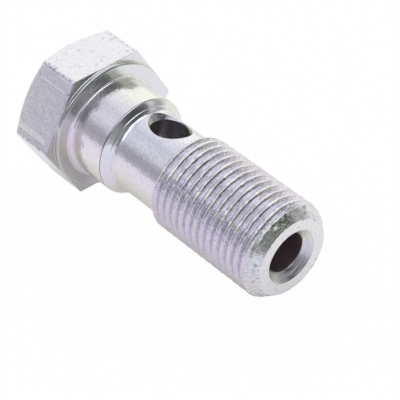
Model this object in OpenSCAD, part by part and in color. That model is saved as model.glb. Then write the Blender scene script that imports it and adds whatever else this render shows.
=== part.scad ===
// Hollow banjo bolt, M16 x 1.5, lying on one flat of its hexagon and on the last crest of its thread.
// The bolt is drawn along its own axis with the bearing face at zero and the thread's end at the top,
// then laid down. The thread is its plain outer cylinder here: its turns are cut in the finished look.

/* [Hexagon head] */
// across the flats
head_af = 22; // [19:0.5:24]
// from the bearing face to the top of the head
head_h = 9.6; // [8:0.1:12]
// height of the round bearing collar under the hexagon
collar_h = 0.85; // [0.4:0.05:1.2]
// diameter of the bearing collar
collar_d = 21.8; // [18:0.1:21.8]
// bevel on the collar's edge
collar_bevel = 0.15; // [0.05:0.05:0.3]
// slope of the bevel on the head's top, from the top's plane
head_bevel_angle = 30; // [15:1:35]
// how much the upright edges are eased
head_edge_ease = 0.08; // [0.02:0.01:0.3]
// diameter of the flat top
head_top_d = 21; // [18:0.1:21.6]

/* [Neck and waist] */
// diameter of the neck that centres the banjo eye
neck_d = 16.7; // [16.2:0.1:17.4]
// from the bearing face to the neck's end
neck_l = 7.24; // [5:0.1:9]
// hollow radius where the neck meets the bearing face
neck_fillet = 0.5; // [0.3:0.1:1.2]
// diameter of the waist that the fluid runs around
waist_d = 13.8; // [12:0.1:15]
// hollow radius where the shoulder meets the waist
shoulder_fillet = 0.9; // [0.3:0.1:1.2]

/* [Thread] */
// outer diameter
thread_d = 16; // [15.7:0.1:16]
// where the waist ends and the run-in starts
thread_start = 18.35; // [16:0.1:20]
// height of the steep part of the run-in
run_in_steep = 0.35; // [0.2:0.05:0.6]
// diameter at the top of the steep part
run_in_d = 15.5; // [15:0.1:15.6]
// height of the whole run-in
run_in_h = 0.95; // [0.8:0.05:1.4]
// where the last full crest ends
thread_end = 39.1; // [36:0.1:39.5]

/* [End] */
// from the bearing face to the end face
shank_l = 41.1; // [40.5:0.1:42]
// outer diameter of the end face
end_face_d = 12.96; // [11:0.1:14]

/* [Holes] */
// diameter of the long bore
bore_d = 6.6; // [5:0.1:7]
// from the bearing face to where the long bore's wall stops
bore_stop = 8.4; // [7.5:0.1:9]
// point angle of the drill that made the bore
drill_angle = 118; // [90:1:140]
// diameter of the countersink in the end face
sink_d = 9.06; // [8:0.1:10]
// diameter of the hole across the waist
cross_d = 6; // [5:0.1:6.4]
// from the bearing face to the centre of the cross-hole
cross_at = 12.7; // [12.6:0.1:13]
// turn of the cross-hole away from the upright
cross_turn = 12; // [0:1:30]
// depth of the cone that takes the edge off the cross-hole, from the top of the waist
cross_deburr = 0.85; // [0.2:0.05:0.9]

/* [Hidden] */
round_fn = 96;
hex_fn = 6;
overlap = 1;
root2 = sqrt(2);
head_r = head_af / 2;
corner_r = head_af / sqrt(3) - head_edge_ease;
top_r = head_top_d / 2;
collar_r = collar_d / 2;
neck_r = neck_d / 2;
waist_r = waist_d / 2;
thread_r = thread_d / 2;
end_r = end_face_d / 2;
bevel_low = head_h - (corner_r - top_r) * tan(head_bevel_angle);
shoulder_sum = neck_l + neck_r;
fillet_at = shoulder_sum - waist_r - shoulder_fillet + shoulder_fillet * root2;
fillet_r = waist_r + shoulder_fillet;
fillet_reach = shoulder_fillet / root2;
sink_h = (sink_d - bore_d) / 2;
drill_tip = bore_d / 2 / tan(drill_angle / 2);
tilt = atan((head_r - thread_r) / (thread_end + collar_h));
lift = head_r * cos(tilt) - collar_h * sin(tilt);
shift = ((head_h - shank_l) * cos(tilt) + (top_r - end_r) * sin(tilt)) / 2;
steel = [0.80, 0.80, 0.83];

// the hexagon, cut round by its top bevel and its eased upright edges
module hexagon() {
    intersection() {
        translate([0, 0, -head_h])
            rotate([0, 0, 30])
                cylinder(r = head_af / sqrt(3), h = head_h - collar_h, $fn = hex_fn);
        rotate_extrude($fn = round_fn)
            polygon([
                [0, -head_h],
                [top_r, -head_h],
                [corner_r, -bevel_low],
                [corner_r, -collar_h],
                [0, -collar_h]
            ]);
    }
}

// half section of the turned part, radius across and height along the axis
module section() {
    difference() {
        polygon([
            [0, -collar_h - overlap],
            [collar_r, -collar_h - overlap],
            [collar_r, -collar_bevel],
            [collar_r - collar_bevel, 0],
            [neck_r + neck_fillet, 0],
            [neck_r, neck_fillet],
            [neck_r, neck_l],
            [fillet_r - fillet_reach, fillet_at - fillet_reach],
            [waist_r, fillet_at],
            [waist_r, thread_start],
            [run_in_d / 2, thread_start + run_in_steep],
            [thread_r, thread_start + run_in_h],
            [thread_r, thread_end],
            [end_r, shank_l],
            [0, shank_l]
        ]);
        translate([neck_r + neck_fillet, neck_fillet])
            circle(r = neck_fillet, $fn = round_fn);
        translate([fillet_r, fillet_at])
            circle(r = shoulder_fillet, $fn = round_fn);
    }
}

// the long bore from the end face, with its countersink and the drill's point
module long_bore() {
    translate([0, 0, bore_stop])
        cylinder(d = bore_d, h = shank_l - bore_stop + overlap, $fn = round_fn);
    translate([0, 0, bore_stop - drill_tip])
        cylinder(r1 = 0, r2 = bore_d / 2, h = drill_tip, $fn = round_fn);
    translate([0, 0, shank_l - sink_h])
        cylinder(r1 = bore_d / 2, r2 = bore_d / 2 + sink_h + overlap, h = sink_h + overlap, $fn = round_fn);
}

// one side's cutter that takes the sharp edge off the cross-hole
module deburr() {
    translate([0, 0, waist_r - cross_deburr])
        cylinder(r1 = cross_d / 2, r2 = cross_d / 2 + cross_deburr + overlap, h = cross_deburr + overlap,
                 $fn = round_fn);
}

// the hole across the waist, drilled through both walls
module cross_hole() {
    translate([0, 0, cross_at])
        rotate([0, 0, 180 - cross_turn])
            rotate([0, 90, 0]) {
                cylinder(d = cross_d, h = 2 * thread_r, center = true, $fn = round_fn);
                deburr();
                mirror([0, 0, 1])
                    deburr();
            }
}

// the whole bolt upright along its own axis
module upright() {
    difference() {
        union() {
            hexagon();
            rotate_extrude($fn = round_fn)
                section();
        }
        long_bore();
        cross_hole();
    }
}

// the bolt as it lies: one flat's lower edge and the last crest on the ground
module banjo_bolt() {
    color(steel)
        translate([shift, 0, lift])
            rotate([0, 90 + tilt, 0])
                upright();
}

banjo_bolt();
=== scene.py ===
"""Finished look of a zinc-plated banjo bolt, lying on a flat of its hexagon and the end of its thread.

The bolt is one closed mesh, built row by row from the head's top, over the outside to the thread's end
and back down the long bore. Lengths are in millimetres along and across the bolt's own axis until the
mesh is laid down. Angles turn right-handed about the axis towards the thread's end, and 180 degrees is
uppermost.
"""

import math

import bmesh
import bpy
import numpy as np
from mathutils import Euler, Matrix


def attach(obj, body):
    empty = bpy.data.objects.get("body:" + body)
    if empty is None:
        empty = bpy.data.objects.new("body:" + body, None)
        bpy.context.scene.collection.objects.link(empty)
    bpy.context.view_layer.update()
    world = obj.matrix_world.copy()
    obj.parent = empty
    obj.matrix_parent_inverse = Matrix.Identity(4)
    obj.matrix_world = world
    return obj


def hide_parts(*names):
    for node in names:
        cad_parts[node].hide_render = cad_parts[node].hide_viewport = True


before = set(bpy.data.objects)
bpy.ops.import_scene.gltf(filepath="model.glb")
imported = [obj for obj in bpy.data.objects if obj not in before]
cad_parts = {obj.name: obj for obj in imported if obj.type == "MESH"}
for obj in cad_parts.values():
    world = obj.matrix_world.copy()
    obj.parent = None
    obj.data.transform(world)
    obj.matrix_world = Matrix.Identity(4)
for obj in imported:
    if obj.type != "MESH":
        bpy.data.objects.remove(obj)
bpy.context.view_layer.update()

# Metres in a millimetre
MM = 0.001

# Sizes of the bolt, as in the part's source. Only the hollow at the neck's foot is tighter, as the light
# in the photograph shows it.
HEAD_AF = 22.0
HEAD_H = 9.6
HEAD_TOP_R = 10.5
HEAD_BEVEL = math.radians(30)
COLLAR_H = 0.85
COLLAR_R = 10.9
NECK_R = 8.35
NECK_L = 7.24
NECK_FILLET = 0.32
WAIST_R = 6.9
SHOULDER_FILLET = 0.9
THREAD_R = 8.0
THREAD_START = 18.35
THREAD_END = 39.1
SHANK_L = 41.1
END_R = 6.48
BORE_R = 3.3
BORE_STOP = 8.4
DRILL_HALF_ANGLE = math.radians(59)
SINK_R = 4.53
CROSS_R = 3.0
CROSS_AT = 12.7
CROSS_TURN = 12.0
CROSS_DEBURR = 0.85

# Thread turns
PITCH = 1.5
THREAD_PHASE = 0.106
# distance from the crest's middle and depth below it, over half a turn
THREAD_FORM = (
    (0.0, 0.0),
    (0.10, 0.008),
    (0.19, 0.040),
    (0.27, 0.098),
    (0.35, 0.190),
    (0.47, 0.380),
    (0.60, 0.600),
    (0.68, 0.730),
    (0.75, 0.780),
)
# how deep the crests are knocked, and the waves of that wear round the axis
CREST_WEAR = 0.05
WEAR_WAVES = (11, 17, 26, 41, 58, 77)
# the run-in rises steeply from the waist, then gently from a knee: distance from its start and radius
RUN_IN_STEEP = 2.4
RUN_IN_KNEE = (0.35, 7.72)
RUN_IN_GENTLE = 0.45
# how widely the knee is rounded, and the turns where the run-in and the bevel cut them off
KNEE_BLEND = 0.12
TURN_BLEND = 0.10
# how uneven the end's bevel is, and its waves: turns round the axis and radians per millimetre along it.
# It is even in the last stretch before the end face.
BEVEL_ROUGH = 0.09
BEVEL_WAVES = ((7, 1.0), (13, -2.0), (22, 3.0), (34, -4.0))
BEVEL_EVEN = 0.7

# Rounds on the edges
CORNER_ROUND = 0.32
EDGE_ROUND = 0.10
FLAT_EDGE_ROUND = 0.07
COLLAR_FILLET = 0.14
# the hexagon's upper edge: how far inside its outline, and how far along from the bevel's end
BEVEL_EDGE = ((0.07, -0.030), (0.030, 0.0), (0.008, 0.05), (0.0, 0.13))
# the collar's bevelled edge, a little wider than in the part's source: how far inside its radius, and the
# place along the bolt
COLLAR_EDGE = ((0.0, -0.50), (0.0, -0.32), (0.02, -0.25), (0.07, -0.18), (0.18, -0.07))
BEARING_EDGE = ((0.22, -0.02), (0.28, 0.0))
# the neck's edge at the shoulder: how far inside its radius, and how far along from the neck's end
NECK_EDGE = ((0.01, -0.05), (0.045, 0.03), (0.10, 0.10))

# Knocks in the hexagon's lower edge and its corners: depth, and the edge's waves round the axis
NICK = 0.10
NICK_WAVES = (17, 29, 43, 61, 83)
CORNER_NICK = 0.09

# Where the random draws of the two kinds of knock and of the crests' wear begin
NICK_SEED = 3
CORNER_SEED = 9
WEAR_SEED = 40

# Drawing marks on the hexagon's flat that faces the camera, which runs from one turn to the other:
# distance from its middle, half width, first and last place along the bolt, and how much darker it is
MARKED_FLAT = (210.0, 270.0)
DRAWING_MARKS = (
    (5.22, 0.10, -9.8, -0.9, 0.45),
    (5.60, 0.09, -9.8, -0.9, 0.35),
    (4.55, 0.75, -9.8, -1.5, -0.16),
    (-3.72, 0.08, -9.8, -1.2, 0.30),
    (-4.10, 0.16, -9.8, -1.2, -0.14),
    (-3.20, 0.09, -9.8, -5.4, 0.25),
    (-0.60, 0.07, -8.8, -5.4, 0.18),
    (2.10, 0.07, -9.0, -3.0, 0.15),
)

# The tool's step in the shoulder: how far along the cone, and how deep it is cut there
TOOL_STEP = (
    (0.15, 0.0),
    (0.30, 0.004),
    (0.45, 0.012),
    (0.58, 0.026),
    (0.66, 0.028),
    (0.71, -0.004),
    (0.78, 0.0),
    (0.92, 0.0),
)

# Turning grooves in the countersink: depth, and radians from its mouth to its foot
SINK_GROOVE = 0.016
SINK_GROOVE_WAVES = 46.0

# How fine the mesh is: degrees from a corner of the hexagon for the columns near it and for the first of
# the others, the step of those, radii on the head's top, and numbers of rows
CORNER_COLUMNS = (0.0, 0.35, 0.7, 1.03, 1.6)
FIRST_COLUMN = 3.0
COLUMN_STEP = 2.0
TOP_ROWS = (1.5, 4.0, 7.0, 9.0)
FLAT_ROWS = 20
WAIST_ROWS = 12
SINK_ROWS = 24
CROSSING_ROWS = 9

# Windows that the outside and the bore leave open round the cross-hole: places along the bolt, and
# degrees to either side of the hole
MOUTH_SPAN = (8.6, 16.7)
MOUTH_HALF_WIDTH = 34
MOUTH_RINGS = 7
CROSSING_SPAN = (CROSS_AT - 3.7, CROSS_AT + 3.7)
CROSSING_HALF_WIDTH = 78

# How the bolt lies
TILT = math.atan((HEAD_AF / 2 - THREAD_R) / (THREAD_END + COLLAR_H))
LIFT = HEAD_AF / 2 * math.cos(TILT) - COLLAR_H * math.sin(TILT)
SHIFT = ((HEAD_H - SHANK_L) * math.cos(TILT) + (HEAD_TOP_R - END_R) * math.sin(TILT)) / 2
UPPERMOST = 180.0
HOLE_TURNS = (UPPERMOST - CROSS_TURN, 2 * UPPERMOST - CROSS_TURN)

# The photograph's camera
CAMERA_AT = (157.786, -124.648, 159.426)
CAMERA_TURN = (52.2539, 2.8127, 48.5639)
CAMERA_LENS = 146.965


def wobble(angle, seed, waves):
    """A smooth uneven value between about -1 and 1 round the axis."""
    rng = np.random.default_rng(seed)
    total = 0.0
    for k in waves:
        total = total + np.cos(k * np.asarray(angle) + rng.uniform(0, 2 * math.pi))
    return total / math.sqrt(len(waves))


def columns():
    """The angles of the mesh's columns in radians, closer together at the hexagon's corners."""
    near = list(CORNER_COLUMNS)
    between = list(np.arange(FIRST_COLUMN, 60 - FIRST_COLUMN + 0.01, COLUMN_STEP))
    sector = near + between + [60 - a for a in reversed(near[1:])]
    return np.radians([30 + 60 * k + a for k in range(6) for a in sector])


ANGLES = columns()
COUNT = len(ANGLES)


def hexagon_radius(inset=0.0):
    """Distance of the hexagon's outline from the axis at each column, with rounded corners."""
    half = HEAD_AF / 2 - inset
    off = np.radians(np.abs(np.degrees(ANGLES) % 60 - 30))
    flat = half / np.cos(math.radians(30) - off)
    rounding = max(CORNER_ROUND - inset, 0.02)
    centre = (half - rounding) / math.cos(math.radians(30))
    limit = math.atan2(rounding * 0.5, centre + rounding * math.cos(math.radians(30)))
    inside = np.clip(rounding ** 2 - (centre * np.sin(off)) ** 2, 0, None)
    return np.where(off < limit, centre * np.cos(off) + np.sqrt(inside), flat)


class Shell:
    """Collects the closed surface: points in the bolt's own frame, faces and each face's finish."""

    def __init__(self):
        self.radius = []
        self.angle = []
        self.along = []
        self.faces = []
        self.finish = []
        self.row = []

    def point(self, radius, angle, along):
        self.radius.append(float(radius))
        self.angle.append(float(angle))
        self.along.append(float(along))
        return len(self.radius) - 1

    def ring(self, radius, along):
        """One row round the axis. radius and along are numbers or one value a column."""
        radius = np.broadcast_to(radius, COUNT)
        along = np.broadcast_to(along, COUNT)
        return [self.point(r, a, s) for r, a, s in zip(radius, ANGLES, along)]

    def face(self, corners, finish):
        kept = list(dict.fromkeys(corners))
        if len(kept) > 2:
            self.faces.append(kept)
            self.finish.append(finish)

    def add(self, radius, along, finish, skip=()):
        """A new row, with faces between it and the last one, apart from the columns in skip."""
        last = self.row
        self.row = self.ring(radius, along)
        for j in range(COUNT):
            if j not in skip:
                k = (j + 1) % COUNT
                self.face([last[j], last[k], self.row[k], self.row[j]], finish)

    def cap(self, centre, finish):
        """Faces between the last row and a point on the axis."""
        for j in range(COUNT):
            self.face([centre, self.row[j], self.row[(j + 1) % COUNT]], finish)

    def link(self, first, second, finish):
        """Faces between two closed loops of the same length."""
        n = len(first)
        for i in range(n):
            k = (i + 1) % n
            self.face([first[i], first[k], second[k], second[i]], finish)

    def in_hole(self, i, turn):
        """(across, lengthwise, height) of a point in the frame of the cross-hole's mouth at a turn."""
        off = self.angle[i] - math.radians(turn)
        return self.radius[i] * math.sin(off), self.along[i] - CROSS_AT, self.radius[i] * math.cos(off)


def arc(centre_r, centre_s, radius, start, end, steps):
    """(radius, along) pairs on a round edge, angles in degrees from the outward direction."""
    turn = np.radians(np.linspace(start, end, steps + 1))
    return [(centre_r + radius * math.cos(t), centre_s + radius * math.sin(t)) for t in turn]


def smooth_min(a, b, width):
    h = np.clip(0.5 + 0.5 * (b - a) / width, 0, 1)
    return b * (1 - h) + a * h - width * h * (1 - h)


def head_top(shell):
    """The head's flat top and its turned bevel."""
    top = -HEAD_H
    e = EDGE_ROUND
    centre = shell.point(0.0, 0.0, top)
    shell.row = shell.ring(TOP_ROWS[0], top)
    shell.cap(centre, "head_top")
    for r in (*TOP_ROWS[1:], HEAD_TOP_R - 2 * e):
        shell.add(r, top, "head_top")
    for out, rise in ((-e, 0.01), (0.0, 0.03), (e, 0.07)):
        shell.add(HEAD_TOP_R + out, top + rise, "head_top")
    outline = hexagon_radius()
    for t in (0.3, 0.6, 0.85):
        r = HEAD_TOP_R + e + (outline - 2 * e - HEAD_TOP_R) * t
        shell.add(r, top + (r - HEAD_TOP_R) * math.tan(HEAD_BEVEL), "head_top")


def hexagon(shell):
    """The six flats, knocked at the corners and the lower edge. Returns that edge's radius a column."""
    outline = hexagon_radius()
    bevel_end = (outline - HEAD_TOP_R) * math.tan(HEAD_BEVEL) - HEAD_H
    for inset, rise in BEVEL_EDGE:
        shell.add(hexagon_radius(inset), bevel_end + rise, "flats")
    e = FLAT_EDGE_ROUND
    nick = NICK * np.clip(wobble(ANGLES, NICK_SEED, NICK_WAVES) - 0.2, 0, None)
    edge = np.maximum(hexagon_radius(e) - nick, COLLAR_R + 0.02)
    foot = collar_foot(edge)
    first = bevel_end + BEVEL_EDGE[-1][1]
    last = foot - e * 1.6
    degrees = np.degrees(ANGLES)
    corner = np.floor(degrees / 60).astype(int) % 6
    beside = np.clip(1 - np.abs(degrees % 60 - 30) / 1.5, 0, 1)
    rng = np.random.default_rng(CORNER_SEED)
    for t in np.linspace(0, 1, FLAT_ROWS + 1)[1:]:
        dent = CORNER_NICK * rng.uniform(0, 1, 6)[corner] ** 2 * beside
        shell.add(outline - dent, first * (1 - t) + last * t, "flats")
    shell.add((hexagon_radius(0.02) + edge + e - 0.02) / 2, foot - e * 0.6, "flats")
    shell.add(edge + 0.02, foot - e * 0.15, "flats")
    shell.add(edge, foot, "flats")
    return edge


def collar_foot(radius):
    """Place along the bolt of the head's underside, which meets the collar in a hollow."""
    off = np.clip(COLLAR_R + COLLAR_FILLET - radius, 0, COLLAR_FILLET)
    return COLLAR_FILLET - COLLAR_H - np.sqrt(COLLAR_FILLET ** 2 - off ** 2)


def underside(shell, edge):
    """The head's underside, closing in from its edge to the collar's foot."""
    for turn, share in ((90, 0.85), (65, 0.65), (45, 0.45), (28, 0.28), (12, 0.12)):
        hollow = COLLAR_R + COLLAR_FILLET * (1 - math.cos(math.radians(turn)))
        radius = np.minimum(hollow, COLLAR_R + (edge - COLLAR_R) * share)
        shell.add(radius, collar_foot(radius), "bearing")


def collar_and_neck():
    """(radius, along, finish) rows from the collar's foot to the shoulder's edge."""
    rows = [(COLLAR_R, COLLAR_FILLET - COLLAR_H, "collar")]
    rows += [(COLLAR_R - inset, s, "collar") for inset, s in COLLAR_EDGE]
    rows += [(COLLAR_R - inset, s, "bearing") for inset, s in BEARING_EDGE]
    rows += [(r, 0.0, "bearing") for r in (10.5, 10.0, 9.5, 9.1)]
    rows += [(r, s, "neck") for r, s in arc(NECK_R + NECK_FILLET, NECK_FILLET, NECK_FILLET, 270, 180, 9)]
    rows += [(NECK_R, s, "neck") for s in np.linspace(NECK_FILLET, NECK_L - 0.14, 6)[1:]]
    rows += [(NECK_R - inset, NECK_L + rise, "shoulder") for inset, rise in NECK_EDGE]
    return rows


SHOULDER_SUM = NECK_L + NECK_R
FILLET_AT = SHOULDER_SUM - WAIST_R - SHOULDER_FILLET + SHOULDER_FILLET * math.sqrt(2)
FILLET_R = WAIST_R + SHOULDER_FILLET
CONE_START = NECK_R - NECK_EDGE[-1][0]
CONE_END = FILLET_R - SHOULDER_FILLET / math.sqrt(2)


def waist_radius(along):
    """The turned outside's radius on the waist and on the hollow before it."""
    off = np.clip(FILLET_AT - np.asarray(along, float), 0, SHOULDER_FILLET * 0.75)
    return FILLET_R - np.sqrt(SHOULDER_FILLET ** 2 - off ** 2)


def shoulder_and_waist():
    """(radius, along, finish) rows from the shoulder's cone to the thread."""
    rows = []
    for t, cut in TOOL_STEP:
        r = CONE_START * (1 - t) + CONE_END * t
        rows.append((r - cut, SHOULDER_SUM - r - cut, "shoulder"))
    rows += [(r, s, "waist") for r, s in arc(FILLET_R, FILLET_AT, SHOULDER_FILLET, 225, 180, 10)]
    rows += [(WAIST_R, s, "waist") for s in np.linspace(FILLET_AT, MOUTH_SPAN[1], WAIST_ROWS + 1)[1:]]
    rows += [(WAIST_R, s, "waist") for s in (17.2, 17.7, 18.1, THREAD_START)]
    return rows


def window_columns(turn, half_width):
    """The columns within half_width degrees of a turn, in order."""
    off = (np.degrees(ANGLES) - turn + 180) % 360 - 180
    inside = np.where(np.abs(off) <= half_width)[0]
    return [int(j) for j in inside[np.argsort(off[inside])]]


def add_with_windows(shell, rows, span, half_width):
    """Adds rows, leaving a window round each mouth of the cross-hole between the two places in span.

    Returns for each mouth the loop of points that bounds its window.
    """
    order = {turn: window_columns(turn, half_width) for turn in HOLE_TURNS}
    skip = {j for cols in order.values() for j in cols[:-1]}
    slack = 1e-6
    within = []
    for r, s, finish in rows:
        inside = span[0] - slack <= s <= span[1] + slack
        shell.add(r, s, finish, skip if inside and within else ())
        if inside:
            within.append(shell.row)
    loops = {}
    for turn, cols in order.items():
        loop = [within[0][j] for j in cols]
        loop += [line[cols[-1]] for line in within[1:-1]]
        loop += [within[-1][j] for j in reversed(cols)]
        loop += [line[cols[0]] for line in reversed(within[1:-1])]
        loops[turn] = loop
    return loops


def rim_reach(toward):
    """How far from the hole's axis its deburring cone meets the waist, at an angle round that axis."""
    reach = CROSS_R + CROSS_DEBURR
    for _ in range(40):
        surface = float(waist_radius(CROSS_AT + reach * math.cos(toward)))
        height = math.sqrt(surface ** 2 - (reach * math.sin(toward)) ** 2)
        reach += 0.5 * (CROSS_R + height - (WAIST_R - CROSS_DEBURR) - reach)
    return reach


def fill_window(shell, loop, turn):
    """Loops closing in from the window's edge to the deburred edge of the cross-hole. Returns the last."""
    centre = math.radians(turn)
    flat = []
    goal = []
    for i in loop:
        off = (shell.angle[i] - centre + math.pi) % (2 * math.pi) - math.pi
        s = shell.along[i] - CROSS_AT
        toward = math.atan2(off * WAIST_R, s)
        reach = rim_reach(toward)
        across, lengthwise = reach * math.sin(toward), reach * math.cos(toward)
        surface = float(waist_radius(CROSS_AT + lengthwise))
        flat.append((off, s))
        goal.append((math.asin(across / surface), lengthwise))
    previous = loop
    for t in np.linspace(0, 1, MOUTH_RINGS + 1)[1:]:
        eased = 1 - (1 - t) ** 1.3
        ids = []
        for (o, s), (go, gs) in zip(flat, goal):
            place = CROSS_AT + s + (gs - s) * eased
            ids.append(shell.point(waist_radius(place), centre + o + (go - o) * eased, place))
        shell.link(previous, ids, "waist")
        previous = ids
    return previous


def hole_wall(shell, rim, turn):
    """The deburred edge and the wall of the cross-hole, from its mouth down to the long bore."""
    spots = [shell.in_hole(i, turn) for i in rim]
    directions = [math.atan2(a, s) for a, s, _ in spots]
    widths = [math.hypot(a, s) - CROSS_R for a, s, _ in spots]
    knee = WAIST_R - CROSS_DEBURR
    drops = [h - knee for _, _, h in spots]
    bore = [math.sqrt(BORE_R ** 2 - (CROSS_R * math.sin(d)) ** 2) for d in directions]

    def loop(extras, levels, finish):
        nonlocal previous
        ids = []
        for d, extra, level in zip(directions, extras, levels):
            across = (CROSS_R + extra) * math.sin(d)
            radius = math.hypot(across, level)
            angle = math.radians(turn) + math.atan2(across, level)
            ids.append(shell.point(radius, angle, CROSS_AT + (CROSS_R + extra) * math.cos(d)))
        shell.link(previous, ids, finish)
        previous = ids

    previous = rim
    # the first loop of the cone stands a trace proud, which rounds the rim
    for t, proud in ((0.05, 0.02), (0.12, 0.0), (0.35, 0.0), (0.6, 0.0), (0.85, 0.0), (0.95, 0.0)):
        loop([w * (1 - t) for w in widths], [knee + d * (1 - t + proud) for d in drops], "deburr")
    for extra, drop in ((0.004, 0.01), (0.0, 0.04)):
        loop([extra for _ in rim], [knee - drop for _ in rim], "deburr")
    for t in (0.15, 0.35, 0.55, 0.75, 0.92, 1.0):
        loop([0.0 for _ in rim], [(knee - 0.04) * (1 - t) + b * t for b in bore], "hole")
    return previous


def stitch(shell, first, second, turn, finish):
    """Triangles between two loops of different lengths round the cross-hole's axis."""
    def sorted_loop(loop):
        spots = [shell.in_hole(i, turn) for i in loop]
        angle = [math.atan2(a, s) for a, s, _ in spots]
        order = np.argsort(angle)
        return [loop[i] for i in order], [angle[i] for i in order]

    a_ids, a_dir = sorted_loop(first)
    b_ids, b_dir = sorted_loop(second)
    n, m = len(a_ids), len(b_ids)
    i = j = 0
    while i < n or j < m:
        next_a = a_dir[(i + 1) % n] + (2 * math.pi if i + 1 >= n else 0)
        next_b = b_dir[(j + 1) % m] + (2 * math.pi if j + 1 >= m else 0)
        a0, b0 = a_ids[i % n], b_ids[j % m]
        if j >= m or (i < n and next_a <= next_b):
            shell.face([a0, a_ids[(i + 1) % n], b0], finish)
            i += 1
        else:
            shell.face([a0, b_ids[(j + 1) % m], b0], finish)
            j += 1


def thread_depth(phase):
    """Depth below the crest at a place in the turn, which is a whole number on a crest."""
    off = np.abs((phase + 0.5) % 1.0 - 0.5) * PITCH
    return np.interp(off, [f[0] for f in THREAD_FORM], [f[1] for f in THREAD_FORM])


def thread_surface(angle, along, wear):
    """The threaded outside's radius: turns cut by the run-in at one end and the bevel at the other.

    wear is how much of the crest is gone there.
    """
    phase = (along - THREAD_START) / PITCH - angle / (2 * math.pi) + THREAD_PHASE
    turns = min(THREAD_R - thread_depth(phase), THREAD_R - wear)
    steep = WAIST_R + (along - THREAD_START) * RUN_IN_STEEP
    gentle = RUN_IN_KNEE[1] + (along - THREAD_START - RUN_IN_KNEE[0]) * RUN_IN_GENTLE
    run_in = smooth_min(steep, gentle, KNEE_BLEND)
    bevel = END_R + (SHANK_L - along) * (THREAD_R - END_R) / (SHANK_L - THREAD_END)
    rough = sum(math.cos(k * angle + q * along) for k, q in BEVEL_WAVES) / math.sqrt(len(BEVEL_WAVES))
    bevel += BEVEL_ROUGH * rough * min(1.0, max(0.0, SHANK_L - along - BEVEL_EVEN))
    return float(smooth_min(smooth_min(turns, run_in, TURN_BLEND), bevel, TURN_BLEND))


def turn_places():
    """Where the rows of one turn lie, as fractions of the pitch from the crest."""
    half = [f[0] / PITCH for f in THREAD_FORM]
    return half + [1 - h for h in reversed(half[1:-1])]


def build_thread(shell, first, last):
    """Rows that follow the thread's turns, clipped to the two rings they run between."""
    places = turn_places()
    n = len(places)
    margin = 0.02
    bevel_from = THREAD_END + 0.15
    turns = int((SHANK_L - THREAD_START) / PITCH) + 4
    wear = []
    for k in range(turns + 2):
        wear.append(CREST_WEAR * np.clip(wobble(ANGLES, WEAR_SEED + k, WEAR_WAVES), 0, 1.5))
    ids = {}

    def vertex(j, k):
        wrapped, round_trip = j % COUNT, j // COUNT
        k = k + n * round_trip
        angle = ANGLES[wrapped]
        turn = k // n - 2 + places[k % n] + angle / (2 * math.pi) - THREAD_PHASE
        along = THREAD_START + turn * PITCH
        if along <= THREAD_START + margin:
            return first[wrapped]
        if along >= SHANK_L - margin:
            return last[wrapped]
        if (wrapped, k) not in ids:
            radius = thread_surface(angle, along, wear[(k + n // 2) // n][wrapped])
            ids[wrapped, k] = shell.point(radius, angle, along)
        return ids[wrapped, k]

    for j in range(COUNT):
        for k in range(n * turns):
            corners = [vertex(j, k), vertex(j + 1, k), vertex(j + 1, k + 1), vertex(j, k + 1)]
            middle = sum(shell.along[c] for c in corners) / 4
            shell.face(corners, "end" if middle > bevel_from else "thread")


def end_and_bore():
    """(radius, along, finish) rows over the end face, down its countersink and into the long bore.

    Also returns the place of the drill's point.
    """
    rows = [(END_R - 0.03, SHANK_L - 0.004, "end_face"), (END_R - 0.10, SHANK_L, "end_face")]
    rows += [(r, SHANK_L, "end_face") for r in (5.9, 5.3, SINK_R + 0.07)]
    depth = SINK_R - BORE_R
    rows.append((SINK_R + 0.01, SHANK_L - 0.015, "sink"))
    for t in np.linspace(0.03, 0.97, SINK_ROWS):
        groove = SINK_GROOVE * math.sin(t * SINK_GROOVE_WAVES) * math.sin(math.pi * t)
        rows.append((SINK_R - depth * t + groove, SHANK_L - depth * t, "sink"))
    deep = SHANK_L - depth
    rows += [(BORE_R + 0.008, deep - 0.01, "bore"), (BORE_R, deep - 0.06, "bore")]
    rows += [(BORE_R, deep - s, "bore") for s in (0.5, 1.5, 3.0, 6.0, 12.0, 18.0)]
    rows += [(BORE_R, s, "bore") for s in np.linspace(CROSSING_SPAN[1], CROSSING_SPAN[0], CROSSING_ROWS)]
    rows += [(BORE_R, s, "bore") for s in (BORE_STOP + 0.3, BORE_STOP)]
    tip = BORE_STOP - BORE_R / math.tan(DRILL_HALF_ANGLE)
    rows += [(BORE_R * (1 - t), BORE_STOP + (tip - BORE_STOP) * t, "bore") for t in (0.3, 0.6, 0.85)]
    return rows, tip


def build_shell():
    """The whole closed surface."""
    shell = Shell()
    head_top(shell)
    edge = hexagon(shell)
    underside(shell, edge)
    for r, s, finish in collar_and_neck():
        shell.add(r, s, finish)
    mouths = add_with_windows(shell, shoulder_and_waist(), MOUTH_SPAN, MOUTH_HALF_WIDTH)
    last = shell.ring(END_R, SHANK_L)
    build_thread(shell, shell.row, last)
    shell.row = last
    rows, tip = end_and_bore()
    inner = add_with_windows(shell, rows, CROSSING_SPAN, CROSSING_HALF_WIDTH)
    shell.cap(shell.point(0.0, 0.0, tip), "bore")
    for turn in HOLE_TURNS:
        rim = fill_window(shell, mouths[turn], turn)
        foot = hole_wall(shell, rim, turn)
        stitch(shell, foot, inner[turn], turn, "bore")
    return shell


def lay_down(radius, angle, along):
    """Points of the bolt's own frame in the row frame, in metres."""
    down = radius * np.cos(angle)
    side = radius * np.sin(angle)
    x = along * math.cos(TILT) - down * math.sin(TILT) + SHIFT
    z = -along * math.sin(TILT) - down * math.cos(TILT) + LIFT
    return np.stack([x, side, z], 1) * MM


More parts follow.
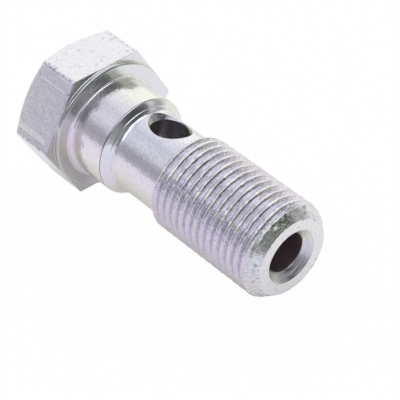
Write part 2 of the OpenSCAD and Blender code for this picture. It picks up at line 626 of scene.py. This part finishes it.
def weighted_normals(co, faces):
    """Point normals that follow the larger faces, so that flats stay flat beside their rounded edges."""
    normal = np.zeros_like(co)
    for size in sorted({len(f) for f in faces}):
        group = np.array([f for f in faces if len(f) == size])
        area = np.zeros((len(group), 3))
        for k in range(1, size - 1):
            a = co[group[:, k]] - co[group[:, 0]]
            b = co[group[:, k + 1]] - co[group[:, 0]]
            area += np.cross(a, b)
        for k in range(size):
            np.add.at(normal, group[:, k], area)
    length = np.linalg.norm(normal, axis=1, keepdims=True)
    return normal / np.maximum(length, 1e-20)


def make_bolt(materials):
    """The mesh object, with the places along and round the bolt kept as attributes for its finishes."""
    shell = build_shell()
    used = sorted({i for f in shell.faces for i in f})
    new_id = {old: new for new, old in enumerate(used)}
    faces = [[new_id[i] for i in f] for f in shell.faces]
    radius = np.array(shell.radius)[used]
    angle = np.array(shell.angle)[used]
    along = np.array(shell.along)[used]
    co = lay_down(radius, angle, along)
    mesh = bpy.data.meshes.new("banjo_bolt_dressed")
    mesh.from_pydata([tuple(p) for p in co], [], faces)
    mesh.update()
    bm = bmesh.new()
    bm.from_mesh(mesh)
    bmesh.ops.recalc_face_normals(bm, faces=bm.faces)
    bm.to_mesh(mesh)
    bm.free()
    finishes = list(materials)
    for name in finishes:
        mesh.materials.append(materials[name])
    mesh.polygons.foreach_set("material_index", [finishes.index(f) for f in shell.finish])
    mesh.polygons.foreach_set("use_smooth", [True] * len(mesh.polygons))
    aside = radius * np.sin(angle - math.radians(sum(MARKED_FLAT) / 2))
    layers = {"along_mm": along, "across_mm": radius, "turn": np.degrees(angle), "aside_mm": aside}
    for name, values in layers.items():
        layer = mesh.attributes.new(name, "FLOAT", "POINT")
        layer.data.foreach_set("value", values.astype(np.float32))
    turned = [list(p.vertices) for p in mesh.polygons]
    mesh.normals_split_custom_set_from_vertices([tuple(n) for n in weighted_normals(co, turned)])
    mesh.update()
    bolt = bpy.data.objects.new("banjo_bolt_dressed", mesh)
    bpy.context.scene.collection.objects.link(bolt)
    return bolt


class Nodes:
    """Short calls for the node tree of a material or a world, which starts empty."""

    def __init__(self, owner):
        owner.use_nodes = True
        self.tree = owner.node_tree
        self.tree.nodes.clear()
        self.column = 0

    def add(self, kind, **settings):
        node = self.tree.nodes.new(kind)
        node.location = (self.column * 180, 0)
        self.column += 1
        for key, value in settings.items():
            setattr(node, key, value)
        return node

    def put(self, socket, value):
        """Links an output, or sets a constant on the socket itself."""
        if isinstance(value, bpy.types.NodeSocket):
            self.tree.links.new(value, socket)
        else:
            socket.default_value = value

    def math(self, operation, a, b=0.0, c=None):
        node = self.add("ShaderNodeMath", operation=operation)
        self.put(node.inputs[0], a)
        self.put(node.inputs[1], b)
        if c is not None:
            self.put(node.inputs[2], c)
        return node.outputs[0]

    def times(self, first, *others):
        for other in others:
            first = self.math("MULTIPLY", first, other)
        return first

    def off(self, value, centre):
        """How far a value is from centre, on either side."""
        return self.math("ABSOLUTE", self.math("SUBTRACT", value, centre))

    def dimmed(self, value, where, share):
        """The value with this share of it taken away where the mask is 1."""
        return self.times(value, self.math("MULTIPLY_ADD", where, -share, 1.0))

    def vector(self, operation, a, b=(0.0, 0.0, 0.0)):
        node = self.add("ShaderNodeVectorMath", operation=operation)
        self.put(node.inputs[0], a)
        self.put(node.inputs[1], b)
        return node.outputs["Value" if operation == "DOT_PRODUCT" else "Vector"]

    def combine(self, x, y, z):
        node = self.add("ShaderNodeCombineXYZ")
        for socket, value in zip(node.inputs, (x, y, z)):
            self.put(socket, value)
        return node.outputs[0]

    def separate(self, value):
        node = self.add("ShaderNodeSeparateXYZ")
        self.put(node.inputs[0], value)
        return node.outputs

    def attribute(self, name):
        return self.add("ShaderNodeAttribute", attribute_name=name).outputs["Fac"]

    def noise(self, vector, scale, detail=2.0, roughness=0.5, distortion=0.0):
        node = self.add("ShaderNodeTexNoise")
        self.put(node.inputs["Vector"], vector)
        self.put(node.inputs["Scale"], scale)
        self.put(node.inputs["Detail"], detail)
        self.put(node.inputs["Roughness"], roughness)
        self.put(node.inputs["Distortion"], distortion)
        return node.outputs["Fac"]

    def smooth(self, value, low, high, out_low=0.0, out_high=1.0):
        node = self.add("ShaderNodeMapRange", interpolation_type="SMOOTHSTEP")
        keys = ("Value", "From Min", "From Max", "To Min", "To Max")
        for key, setting in zip(keys, (value, low, high, out_low, out_high)):
            self.put(node.inputs[key], setting)
        return node.outputs["Result"]

    def ramp(self, value, stops):
        node = self.add("ShaderNodeValToRGB")
        band = node.color_ramp
        while len(band.elements) > 1:
            band.elements.remove(band.elements[-1])
        band.elements[0].position = stops[0][0]
        band.elements[0].color = (*stops[0][1], 1.0)
        for place, colour in stops[1:]:
            band.elements.new(place).color = (*colour, 1.0)
        self.put(node.inputs["Fac"], value)
        return node.outputs["Color"]

    def mix(self, factor, a, b):
        node = self.add("ShaderNodeMix", data_type="RGBA")
        self.put(node.inputs["Factor"], factor)
        self.put(node.inputs["A"], a)
        self.put(node.inputs["B"], b)
        return node.outputs["Result"]


# The plating's tint from facing the viewer to glancing. The upper side goes from violet over cream to a
# yellowish green, the lower left side stays violet and pink for longer.
FILM = (
    (0.02, (0.86, 0.86, 0.99)),
    (0.20, (0.86, 0.84, 0.99)),
    (0.27, (0.90, 0.87, 0.97)),
    (0.33, (0.93, 0.91, 0.94)),
    (0.40, (0.94, 0.94, 0.92)),
    (0.50, (0.93, 0.95, 0.88)),
    (0.62, (0.93, 0.96, 0.86)),
    (0.75, (0.94, 0.97, 0.87)),
    (0.90, (0.95, 0.97, 0.92)),
)
LOWER_FILM = (
    (0.02, (0.85, 0.86, 0.99)),
    (0.12, (0.86, 0.85, 1.00)),
    (0.22, (0.88, 0.85, 1.00)),
    (0.30, (0.91, 0.86, 1.00)),
    (0.40, (0.95, 0.88, 0.99)),
    (0.50, (0.97, 0.90, 0.95)),
    (0.60, (0.95, 0.91, 0.88)),
    (0.70, (0.94, 0.92, 0.84)),
    (0.85, (0.95, 0.94, 0.87)),
)
# the waist is cooler
WAIST_FILM = (
    (0.05, (0.82, 0.85, 0.98)),
    (0.24, (0.83, 0.85, 1.00)),
    (0.34, (0.92, 0.91, 0.97)),
    (0.60, (0.95, 0.95, 0.95)),
    (0.90, (0.96, 0.97, 0.96)),
)
# the thread is violet nearly all over, with a trace of cream in the painted highlights on its crests
THREAD_FILM = (
    (0.05, (0.84, 0.84, 0.95)),
    (0.25, (0.87, 0.85, 0.97)),
    (0.36, (0.98, 0.94, 1.00)),
    (0.50, (1.00, 0.95, 1.00)),
    (0.70, (0.91, 0.86, 0.97)),
    (0.85, (0.86, 0.81, 0.93)),
)
# on the lower left the thread is pinker, and darker with painted shade
LOWER_THREAD_TINT_AND_SHADE = (
    (0.05, (0.82, 0.81, 0.98)),
    (0.20, (0.83, 0.79, 0.98)),
    (0.32, (0.90, 0.80, 1.00)),
    (0.45, (0.86, 0.79, 0.87)),
    (0.60, (0.80, 0.77, 0.78)),
    (0.85, (0.81, 0.80, 0.81)),
)
# cream of the painted highlights on the thread's crests
CREST_GLINT_TINT = (1.00, 0.96, 0.93, 1.0)
# the bearing face is cooler on the right, and painted shade makes it duller on the lower left
BEARING_FILM = (
    (0.350, (0.86, 0.92, 0.88)),
    (0.362, (0.89, 0.92, 0.96)),
    (0.374, (0.95, 0.92, 1.00)),
    (0.600, (0.95, 0.96, 0.95)),
)
LOWER_BEARING_SHADE = (
    (0.10, (0.62, 0.60, 0.61)),
    (0.60, (0.63, 0.60, 0.61)),
)
# the drawn flats of the hexagon and the end are blue-grey to neutral
PLAIN_FILM = (
    (0.10, (0.86, 0.87, 0.97)),
    (0.26, (0.87, 0.86, 0.98)),
    (0.36, (0.98, 0.95, 1.00)),
    (0.60, (0.98, 0.96, 1.00)),
)
END_FILM = (
    (0.10, (0.78, 0.81, 0.79)),
    (0.26, (0.84, 0.85, 0.88)),
    (0.36, (0.97, 0.96, 1.00)),
)
FLAT_FILM = (
    (0.10, (0.81, 0.80, 1.00)),
    (0.28, (0.83, 0.80, 1.00)),
    (0.33, (0.95, 0.94, 0.99)),
    (0.60, (0.95, 0.95, 0.98)),
)
BORE_FILM = (
    (0.10, (0.80, 0.70, 0.75)),
    (0.80, (0.92, 0.82, 0.86)),
)

# Turns between which the lower film comes in on the left, and between which it goes out underneath
LOWER_FILM_IN = (200.0, 248.0)
LOWER_FILM_OUT = (315.0, 350.0)

# Turns at which painted highlights lie on the thread's crests, on top and on the left, and at which painted
# shade makes the thread darkest
GLINT_TOP = 174.0
GLINT_LEFT = 223.0
SHADED_THREAD_TURN = 207.0


class Plate:
    """Bright zinc plate in the making: its tint, its brightness and its relief in millimetres."""

    def __init__(self, name):
        self.material = bpy.data.materials.new("zinc_" + name)
        self.n = Nodes(self.material)
        n = self.n
        self.place = n.add("ShaderNodeTexCoord").outputs["Object"]
        self.along = n.attribute("along_mm")
        self.across = n.attribute("across_mm")
        self.turn = n.attribute("turn")
        self.coarse = n.noise(self.place, 900.0, 2.0, 0.5, 0.3)
        self.middle = n.noise(self.place, 2600.0, 3.0, 0.6, 0.3)
        self.fine = n.noise(self.place, 6000.0, 2.0, 0.6)
        self.patch = n.noise(self.place, 300.0, 3.0, 0.6, 0.5)

    def darken(self, where, share):
        self.grey = self.n.dimmed(self.grey, where, share)

    def raise_where(self, where, height):
        self.height = self.n.math("MULTIPLY_ADD", where, height, self.height)

    def set_tint(self, film, lower, drift):
        """One film over the plate and another on the lower left side, wandering from place to place."""
        n = self.n
        facing = n.add("ShaderNodeLayerWeight")
        n.put(facing.inputs["Blend"], 0.5)
        wander = n.math("MULTIPLY_ADD", self.patch, 4 * drift, -2 * drift)
        glance = n.math("ADD", facing.outputs["Facing"], wander)
        self.tint = n.ramp(glance, film)
        # the lower film is mostly a tint; on the bearing and the thread it also darkens that side with
        # painted shade
        if lower:
            side = n.smooth(self.turn, *LOWER_FILM_IN)
            side = n.times(side, n.smooth(self.turn, *LOWER_FILM_OUT, 1.0, 0.0))
            self.tint = n.mix(side, self.tint, n.ramp(glance, lower))

    def set_brightness(self, shade, mottle):
        """An even brightness, mottled by the middle and the fine noise."""
        n = self.n
        dull = n.smooth(self.middle, 0.30, 0.62, 1.0 - 0.22 * mottle, 1.0)
        speck = n.smooth(self.fine, 0.30, 0.56, 1.0 - 0.14 * mottle, 1.0)
        self.grey = n.times(dull, speck, shade)

    def set_relief(self, wave, grain, fuzz):
        self.height = self.n.math("MULTIPLY", self.coarse, wave)
        self.raise_where(self.middle, grain)
        self.raise_where(self.fine, fuzz)

    def paint_crest_glints(self, low, high):
        """Crests, which begin between two radii: painted highlights in noise patches on top and on the
        left, painted shade between the patches on top, and painted shade round one turn.
        """
        n = self.n
        on_crest = n.smooth(self.across, low, high)
        worn = n.smooth(n.noise(self.place, 480.0, 2.0, 0.5, 0.5), 0.46, 0.58)
        near_top = n.smooth(n.off(self.turn, GLINT_TOP), 8.0, 20.0, 0.9, 0.1)
        near_left = n.smooth(n.off(self.turn, GLINT_LEFT), 6.0, 14.0, 0.9, 0.1)
        bright = n.times(on_crest, worn, n.math("MAXIMUM", near_top, near_left))
        # cream painted highlight on the crests at the turns where the light falls, broken into patches by
        # noise
        self.tint = n.mix(bright, self.tint, CREST_GLINT_TINT)
        # painted shade on the crests between the patches, on the upper side of the thread
        dull = n.dimmed(on_crest, worn, 1.0)
        dull = n.times(dull, n.smooth(self.turn, 184.0, 196.0, 0.3, 1.0))
        dull = n.times(dull, n.smooth(self.turn, 222.0, 238.0, 1.0, 0.0))
        self.darken(dull, 0.28)
        # painted shade on the thread round one turn of its upper side
        self.grey = n.times(self.grey, n.smooth(n.off(self.turn, SHADED_THREAD_TURN), 4.0, 14.0, 0.87, 1.0))

    def painted_side_shade(self, at, share):
        """Painted shade on the side at a turn, down to this share of the brightness."""
        n = self.n
        side = n.math("COSINE", n.math("MULTIPLY_ADD", self.turn, math.radians(1), -math.radians(at)))
        self.grey = n.times(self.grey, n.smooth(side, 0.1, 0.9, 1.0, share))

    def paint_root_shade(self, low, high):
        """Painted shade in the roots of the thread, which ends between two radii."""
        self.grey = self.n.times(self.grey, self.n.smooth(self.across, low, high, 0.55, 1.0))

    def draw_seam(self, at):
        """A dark line round the bolt."""
        n = self.n
        self.grey = n.times(self.grey, n.smooth(n.off(self.along, at), 0.04, 0.12, 0.30, 1.0))

    def pit(self, depth):
        spot = self.n.smooth(self.n.noise(self.place, 1100.0, 2.0, 0.5), 0.62, 0.72)
        self.darken(spot, 0.22)
        self.raise_where(spot, -depth)

    def speck_rim(self, low, high):
        """Dark specks on an edge between two radii."""
        n = self.n
        band = n.times(
            n.smooth(self.across, low, low + 0.12),
            n.smooth(self.across, high - 0.12, high, 1.0, 0.0),
            n.smooth(self.patch, 0.40, 0.60),
        )
        spot = n.times(n.smooth(n.noise(self.place, 2200.0, 2.0, 0.5), 0.55, 0.62), band)
        self.darken(spot, 0.55)
        self.raise_where(spot, -0.04)

    def fray_corners(self, height):
        """Uneven and spotted corners of the hexagon."""
        n = self.n
        corner = n.off(n.math("MODULO", self.turn, 60.0), 30.0)
        near = n.smooth(corner, 0.5, 3.2, 1.0, 0.0)
        spot = n.smooth(n.noise(self.place, 2000.0, 2.0, 0.6), 0.50, 0.60)
        self.darken(n.times(spot, near), 0.42)
        self.raise_where(n.times(self.coarse, near), height)

    def draw_marks(self, marks):
        """Marks along the flat that faces the camera."""
        n = self.n
        aside = n.attribute("aside_mm")
        middle = sum(MARKED_FLAT) / 2
        half_turn = MARKED_FLAT[1] - middle
        on_flat = n.smooth(n.off(self.turn, middle), half_turn - 0.5, half_turn, 1.0, 0.0)
        uneven = n.smooth(self.middle, 0.30, 0.55, 0.55, 1.0)
        for at, half, start, end, share in marks:
            line = n.times(
                n.smooth(n.off(aside, at), half * 0.4, half, 1.0, 0.0),
                n.smooth(self.along, start, start + 0.5),
                n.smooth(self.along, end - 0.8, end, 1.0, 0.0),
                on_flat,
                uneven,
            )
            self.darken(line, share)
            self.raise_where(line, -0.08 * share)

    def draw_turning(self, height):
        """Turning marks round the axis."""
        n = self.n
        around = n.separate(n.vector("MULTIPLY", self.place, (60.0, 60.0, 60.0)))[1]
        ring = n.combine(n.times(self.along, 5.0), n.times(self.across, 5.0), around)
        self.raise_where(n.noise(ring, 1.0, 3.0, 0.7), height)

    def scratch(self, height):
        """Scratches along the bolt."""
        streak = self.n.vector("MULTIPLY", self.place, (60.0, 3000.0, 3000.0))
        self.raise_where(self.n.noise(streak, 1.0, 2.0, 0.7), height)

    def finished(self, roughness, mottle):
        """The material, with its nodes joined to the shader."""
        n = self.n
        bump = n.add("ShaderNodeBump")
        n.put(bump.inputs["Strength"], 1.0)
        n.put(bump.inputs["Distance"], MM)
        n.put(bump.inputs["Height"], self.height)
        colour = n.vector("MULTIPLY", self.tint, n.combine(self.grey, self.grey, self.grey))
        rough = n.math("MULTIPLY_ADD", self.middle, 0.16 * mottle, roughness - 0.08 * mottle)
        surface = n.add("ShaderNodeBsdfPrincipled")
        n.put(surface.inputs["Base Color"], colour)
        n.put(surface.inputs["Metallic"], 1.0)
        n.put(surface.inputs["Roughness"], rough)
        n.put(surface.inputs["Normal"], bump.outputs[0])
        out = n.add("ShaderNodeOutputMaterial")
        n.put(out.inputs["Surface"], surface.outputs[0])
        return self.material


def zinc(name, film=FILM, lower=None, drift=0.04, shade=1.0, mottle=0.5, roughness=0.12,
         wave=0.04, grain=0.02, fuzz=0.006, lines=0.0, scratches=0.0, pits=0.0,
         crests=None, painted_side_shade=None, roots=None, seam=None, rim=None, corners=0.0, marks=()):
    """The zinc plate of one part of the bolt.

    film is its tint, and lower the tint on the lower left side, which for the bearing and the thread also
    carries painted shade. drift is how far the tint wanders, shade its brightness, and mottle how uneven
    its brightness and its roughness are. wave, grain and fuzz are the heights of its coarse, middle and
    fine relief in millimetres, and lines, scratches, pits and corners those of turning marks, scratches,
    dents and the hexagon's frayed corners. The others hold what the methods of Plate are given.
    """
    plate = Plate(name)
    plate.set_tint(film, lower, drift)
    plate.set_brightness(shade, mottle)
    plate.set_relief(wave, grain, fuzz)
    if crests:
        plate.paint_crest_glints(*crests)
    if painted_side_shade:
        plate.painted_side_shade(*painted_side_shade)
    if roots:
        plate.paint_root_shade(*roots)
    if seam:
        plate.draw_seam(seam)
    if pits:
        plate.pit(pits)
    if rim:
        plate.speck_rim(*rim)
    if corners:
        plate.fray_corners(corners)
    if marks:
        plate.draw_marks(marks)
    if lines:
        plate.draw_turning(lines)
    if scratches:
        plate.scratch(scratches)
    return plate.finished(roughness, mottle)


def make_materials():
    seam = NECK_L - 0.08
    return {
        "head_top": zinc("head_top", roughness=0.24, lines=0.02),
        "flats": zinc("flats", film=FLAT_FILM, drift=0.015, roughness=0.32, wave=0.08, grain=0.05,
                      scratches=0.03, pits=0.03, corners=0.12, marks=DRAWING_MARKS),
        # the collar is darkened all over with painted shade under the head
        "collar": zinc("collar", lower=LOWER_FILM, shade=0.74, roughness=0.08, wave=0.02, lines=0.006),
        "bearing": zinc("bearing", film=BEARING_FILM, lower=LOWER_BEARING_SHADE, drift=0.0, mottle=0.3,
                        roughness=0.10, wave=0.02, grain=0.01, lines=0.006),
        "neck": zinc("neck", lower=LOWER_FILM, lines=0.006, seam=seam),
        "shoulder": zinc("shoulder", lower=LOWER_FILM, mottle=0.3, roughness=0.07, wave=0.02, grain=0.01,
                         fuzz=0.003, lines=0.010, seam=seam),
        "waist": zinc("waist", film=WAIST_FILM, lower=LOWER_FILM, mottle=0.7, lines=0.006),
        # the thread: painted highlights and painted shade on its crests, painted shade in its roots and on
        # its lower side
        "thread": zinc("thread", film=THREAD_FILM, lower=LOWER_THREAD_TINT_AND_SHADE, drift=0.08, mottle=0.7,
                       roughness=0.17, wave=0.09, grain=0.06, fuzz=0.008, crests=(7.66, 7.88),
                       painted_side_shade=(290.0, 0.93), roots=(7.22, 7.32)),
        "end": zinc("end", film=END_FILM, lower=PLAIN_FILM, mottle=1.2, roughness=0.13, wave=0.03,
                    grain=0.03, pits=0.02, rim=(6.45, 7.2)),
        "end_face": zinc("end_face", film=PLAIN_FILM, roughness=0.20, grain=0.03, lines=0.015, pits=0.02,
                         rim=(6.1, 6.6)),
        # the countersink is darkened on its lower right with painted shade
        "sink": zinc("sink", lower=LOWER_FILM, mottle=0.3, roughness=0.07, wave=0.02, grain=0.01,
                     lines=0.08, painted_side_shade=(10.0, 0.60)),
        "bore": zinc("bore", film=BORE_FILM, roughness=0.30, lines=0.03),
        # the deburred mouth and the wall of the cross-hole are darkened with painted shade inside the hole
        "deburr": zinc("deburr", shade=0.62, mottle=1.2, roughness=0.15, wave=0.05, grain=0.05),
        "hole": zinc("hole", shade=0.44, roughness=0.42, lines=0.01),
    }


# Where things stand round the bolt: azimuth, and height above the ground where there are two
LEFT_SIDE = -106.0
BEHIND_LEFT = -152.0
OPENING = (15.0, 25.0)
BESIDE_CAMERA = (-50.0, 30.0)
TABLE_SIDE = 8.0
STRIP_SIDE = 55.0

# How much of the tent's light the two greyer sides take away, and how much the two lights add
LEFT_GREY = 0.60
BEHIND_GREY = 0.15
STRIP_LIGHT = 0.30
OVERHEAD_LIGHT = 0.70

WHITE = (1.0, 1.0, 1.0, 1.0)
# the dark opening is a trace greener than the tent
OPENING_TINT = (0.96, 1.0, 0.90, 1.0)
PAPER = (0.96, 0.96, 0.96, 1.0)

# How far the floor is plain white: to the camera, where the rest is a trace of shadow, and to the bolt
FLOOR_WHITE_SEEN = 0.98
FLOOR_WHITE = 0.23
FLOOR_HALF_WIDTH = 2.0


class Surroundings(Nodes):
    """The world's nodes. Azimuths run from +X towards +Y and heights up from the ground, in degrees."""

    def __init__(self, owner):
        super().__init__(owner)
        self.way = self.vector("NORMALIZE", self.add("ShaderNodeTexCoord").outputs["Generated"])
        x, y, z = self.separate(self.way)
        self.azimuth = self.times(self.math("ARCTAN2", y, x), math.degrees(1))
        self.up = self.times(self.math("ARCSINE", z), math.degrees(1))

    def sector(self, centre, inner, outer):
        """1 within inner degrees of an azimuth, and 0 beyond outer degrees."""
        return self.smooth(self.off(self.azimuth, centre), inner, outer, 1.0, 0.0)

    def away_from(self, side, height):
        """The angle between each direction and the one at this azimuth and height."""
        a, e = math.radians(side), math.radians(height)
        aim = (math.cos(a) * math.cos(e), math.sin(a) * math.cos(e), math.sin(e))
        angle = self.math("ARCCOSINE", self.vector("DOT_PRODUCT", self.way, aim))
        return self.times(angle, math.degrees(1))

    def tent(self):
        """White cloth, grey on the left near the ground and a little darker high up behind on the left."""
        light = self.smooth(self.up, 35.0, 60.0, 1.06, 0.82)
        left = self.times(
            self.smooth(self.up, 20.0, 48.0, 1.0, 0.0),
            self.smooth(self.up, -2.0, 14.0, 0.75, 1.0),
            self.sector(LEFT_SIDE, 36.0, 56.0),
        )
        light = self.dimmed(light, left, LEFT_GREY)
        behind = self.times(self.sector(BEHIND_LEFT, 22.0, 44.0), self.smooth(self.up, 28.0, 42.0))
        return self.dimmed(light, behind, BEHIND_GREY)

    def front(self):
        """How dark the front is: an opening, greyer past its right edge, and a dark place by the camera."""
        wide = self.away_from(*OPENING)
        inner = self.smooth(wide, 10.0, 40.0, 0.08, 0.30)
        opening = self.math("SUBTRACT", 1.0, self.smooth(wide, 42.0, 84.0, inner, 0.95))
        right_edge = self.math("MULTIPLY_ADD", self.up, -0.8, self.azimuth)
        opening = self.math("MINIMUM", opening, self.smooth(right_edge, 16.0, 34.0, 1.0, 0.62))
        beside = self.smooth(self.away_from(*BESIDE_CAMERA), 14.0, 34.0, 0.75, 0.0)
        dark = self.times(self.math("MAXIMUM", opening, beside), self.smooth(self.up, 46.0, 58.0, 1.0, 0.0))
        # low in the opening the far side of the table is seen
        table = self.times(self.sector(TABLE_SIDE, 22.0, 40.0), self.smooth(self.up, 2.0, 12.0, 0.65, 0.0))
        return self.dimmed(dark, table, 1.0)

    def strip(self):
        """A strip of light at the opening's right edge."""
        return self.times(
            self.sector(STRIP_SIDE, 2.0, 9.0),
            self.smooth(self.up, 12.0, 22.0),
            self.smooth(self.up, 34.0, 42.0, 1.0, 0.0),
        )

    def overhead(self):
        """The light overhead, which reaches lower on the left."""
        left_foot = self.smooth(self.azimuth, -75.0, -42.0, 36.0, 50.0)
        foot = self.math("ADD", left_foot, self.smooth(self.azimuth, -20.0, 5.0, 0.0, 6.0))
        return self.times(
            self.smooth(self.math("SUBTRACT", self.up, foot), 0.0, 8.0),
            self.smooth(self.up, 76.0, 86.0, 1.0, 0.5),
            self.smooth(self.azimuth, -130.0, -105.0),
            self.smooth(self.azimuth, 85.0, 115.0, 1.0, 0.0),
        )


def make_world():
    """A white tent whose front is open to a dark room. To the camera it is plain white."""
    world = bpy.data.worlds.new("tent")
    bpy.context.scene.world = world
    n = Surroundings(world)
    front = n.front()
    light = n.dimmed(n.tent(), front, 1.0)
    light = n.math("MULTIPLY_ADD", n.strip(), STRIP_LIGHT, light)
    light = n.math("MULTIPLY_ADD", n.overhead(), OVERHEAD_LIGHT, light)
    seen = n.add("ShaderNodeLightPath").outputs["Is Camera Ray"]
    strength = n.math("MULTIPLY_ADD", seen, n.math("SUBTRACT", 1.0, light), light)
    background = n.add("ShaderNodeBackground")
    n.put(background.inputs["Color"], n.mix(n.dimmed(front, seen, 1.0), WHITE, OPENING_TINT))
    n.put(background.inputs["Strength"], strength)
    out = n.add("ShaderNodeOutputWorld")
    n.put(out.inputs["Surface"], background.outputs[0])


def make_floor():
    """A plain white floor. To the camera it stays near white, with only a trace of the bolt's shadow."""
    mesh = bpy.data.meshes.new("floor")
    w = FLOOR_HALF_WIDTH
    mesh.from_pydata([(-w, -w, 0), (w, -w, 0), (w, w, 0), (-w, w, 0)], [], [(0, 1, 2, 3)])
    floor = bpy.data.objects.new("floor", mesh)
    bpy.context.scene.collection.objects.link(floor)
    material = bpy.data.materials.new("floor_white")
    n = Nodes(material)
    paper = n.add("ShaderNodeBsdfDiffuse")
    n.put(paper.inputs["Color"], PAPER)
    white = n.add("ShaderNodeEmission")
    n.put(white.inputs["Color"], WHITE)
    n.put(white.inputs["Strength"], 1.0)
    seen = n.add("ShaderNodeLightPath").outputs["Is Camera Ray"]
    both = n.add("ShaderNodeMixShader")
    n.put(both.inputs["Fac"], n.math("MULTIPLY_ADD", seen, FLOOR_WHITE_SEEN - FLOOR_WHITE, FLOOR_WHITE))
    n.put(both.inputs[1], paper.outputs[0])
    n.put(both.inputs[2], white.outputs[0])
    out = n.add("ShaderNodeOutputMaterial")
    n.put(out.inputs["Surface"], both.outputs[0])
    mesh.materials.append(material)


def make_camera():
    data = bpy.data.cameras.new("photo_camera")
    data.lens = CAMERA_LENS
    data.sensor_width = 36.0
    data.clip_start = 0.01
    data.clip_end = 10.0
    camera = bpy.data.objects.new("photo_camera", data)
    camera.location = [v * MM for v in CAMERA_AT]
    camera.rotation_euler = Euler([math.radians(v) for v in CAMERA_TURN], "XYZ")
    bpy.context.scene.collection.objects.link(camera)
    bpy.context.scene.camera = camera


bpy.context.scene.view_settings.view_transform = "Standard"
make_world()
make_floor()
make_camera()
bolt = make_bolt(make_materials())
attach(bolt, "root")
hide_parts("banjo_bolt")
